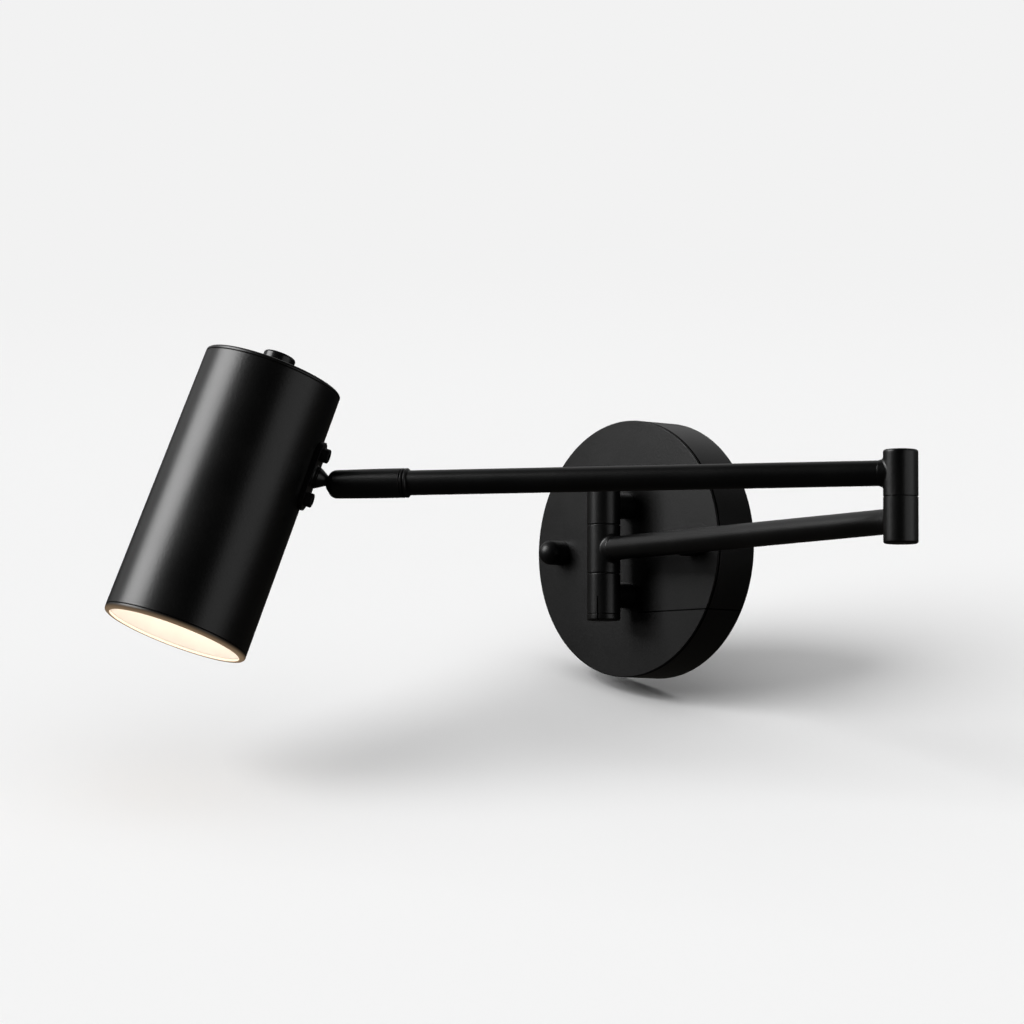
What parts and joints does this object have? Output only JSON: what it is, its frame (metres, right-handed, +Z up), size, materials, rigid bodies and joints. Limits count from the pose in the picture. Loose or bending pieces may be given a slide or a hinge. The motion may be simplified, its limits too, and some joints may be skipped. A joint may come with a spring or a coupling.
{
  "type": "pivoting spotlight wall light",
  "caption": "Wall light with a round wall plate, a folding arm that pivots at the wall and at an elbow, a ball joint and a tapered spotlight head with a push button.",
  "frame": {"origin": "centre of the wall strap's back face, on the wall", "axes": "+Y into the wall, +Z up, X along the wall; the room lies towards -Y"},
  "size_m": [0.3285, 0.3183, 0.1532],
  "materials": {
    "black_powder_coat": "matt powder coat with a fine grain",
    "black_gloss_nut": "gloss black enamel",
    "black_button": "gloss",
    "zinc_steel": "zinc plated",
    "black_screw": "black oxide",
    "brass": "bare brass",
    "driver_case": "moulded",
    "terminal_plastic": "moulded",
    "washer_plastic": "matt",
    "cable_jacket": "matt",
    "nylon": "moulded nylon",
    "spring_steel": "drawn wire",
    "white_plastic": "matt white",
    "frosted_diffuser": "frosted, lit from behind",
    "reflector_metal": "satin",
    "board_white": "white solder mask",
    "sink_aluminium": "as extruded",
    "switch_plastic": "moulded"
  },
  "bodies": {
    "wall_base": {"wall_strap": "zinc_steel", "strap_studs": "zinc_steel", "cap_nuts": "black_gloss_nut", "earth_screw": "brass", "canopy_rim": "black_powder_coat", "canopy_plate": "black_powder_coat", "led_driver": "driver_case", "driver_screws": "zinc_steel", "terminal_block": "terminal_plastic", "terminal_screws": "brass", "terminal_block_screw": "zinc_steel", "upper_pivot_bracket": "black_powder_coat", "lower_pivot_bracket": "black_powder_coat", "post_nipples": "brass", "post_washers": "zinc_steel", "post_nuts": "zinc_steel", "wall_pivot": "zinc_steel", "wall_pivot_nuts": "brass", "barrel_washers": "washer_plastic", "barrel_caps": "black_powder_coat"},
    "lower_arm": {"root_knuckle": "black_powder_coat", "lower_arm_tube": "black_powder_coat", "lower_arm_lead": "cable_jacket", "elbow_lower_knuckle": "black_powder_coat", "elbow_pivot": "zinc_steel", "elbow_washer": "washer_plastic", "elbow_nut": "brass", "elbow_bottom_cap": "black_powder_coat"},
    "upper_arm": {"elbow_upper_knuckle": "black_powder_coat", "elbow_top_cap": "black_powder_coat", "upper_arm_tube": "black_powder_coat", "upper_arm_lead": "cable_jacket", "joint_sleeve": "black_powder_coat", "sleeve_ring": "black_powder_coat", "seat_spring": "spring_steel"},
    "seat": {"ball_seat": "nylon"},
    "stud": {"ball_stud": "black_powder_coat", "stud_nut": "zinc_steel"},
    "head": {"bracket_plate": "black_powder_coat", "bracket_screws": "black_screw", "bracket_nuts": "zinc_steel", "head_shell": "black_powder_coat", "head_lid": "black_powder_coat", "head_bezel": "black_powder_coat", "front_ring": "white_plastic", "diffuser": "frosted_diffuser", "reflector": "reflector_metal", "led_board": "board_white", "led_screws": "zinc_steel", "heat_sink": "sink_aluminium", "switch_body": "switch_plastic", "switch_nut": "black_screw"},
    "button": {"push_button": "black_button"}
  },
  "joints": [
    {"name": "wall_swing", "type": "hinge", "parent": "wall_base", "child": "lower_arm", "pos_m": [0, -0.04175, -0.0011], "axis": [0, 0, -1], "range_deg": [-4.7, 165.3]},
    {"name": "elbow_swing", "type": "hinge", "parent": "lower_arm", "child": "upper_arm", "pos_m": [0.24032, -0.08283, 0.01], "axis": [0, 0, 1], "range_deg": [-28.9, 149.1]},
    {"name": "ball_swivel", "type": "hinge", "parent": "upper_arm", "child": "seat", "pos_m": [0.00509, -0.22529, 0.0211], "axis": [-0.8554, -0.518, 0], "range_deg": [-170, 170]},
    {"name": "ball_tilt", "type": "hinge", "parent": "seat", "child": "stud", "pos_m": [0.00509, -0.22529, 0.0211], "axis": [-0.4913, 0.8112, 0.3173], "range_deg": [-47.6, 8.4]},
    {"name": "head_spin", "type": "hinge", "parent": "stud", "child": "head", "pos_m": [0.00509, -0.22529, 0.0211], "axis": [-0.7507, -0.5791, 0.3181], "range_deg": [-170, 170]},
    {"name": "button_press", "type": "slide", "parent": "head", "child": "button", "axis": [-0.1392, -0.332, -0.9329], "range_m": [0, 0.002], "stiffness_N_per_m": 1200, "springref_m": -0.0005}
  ]
}
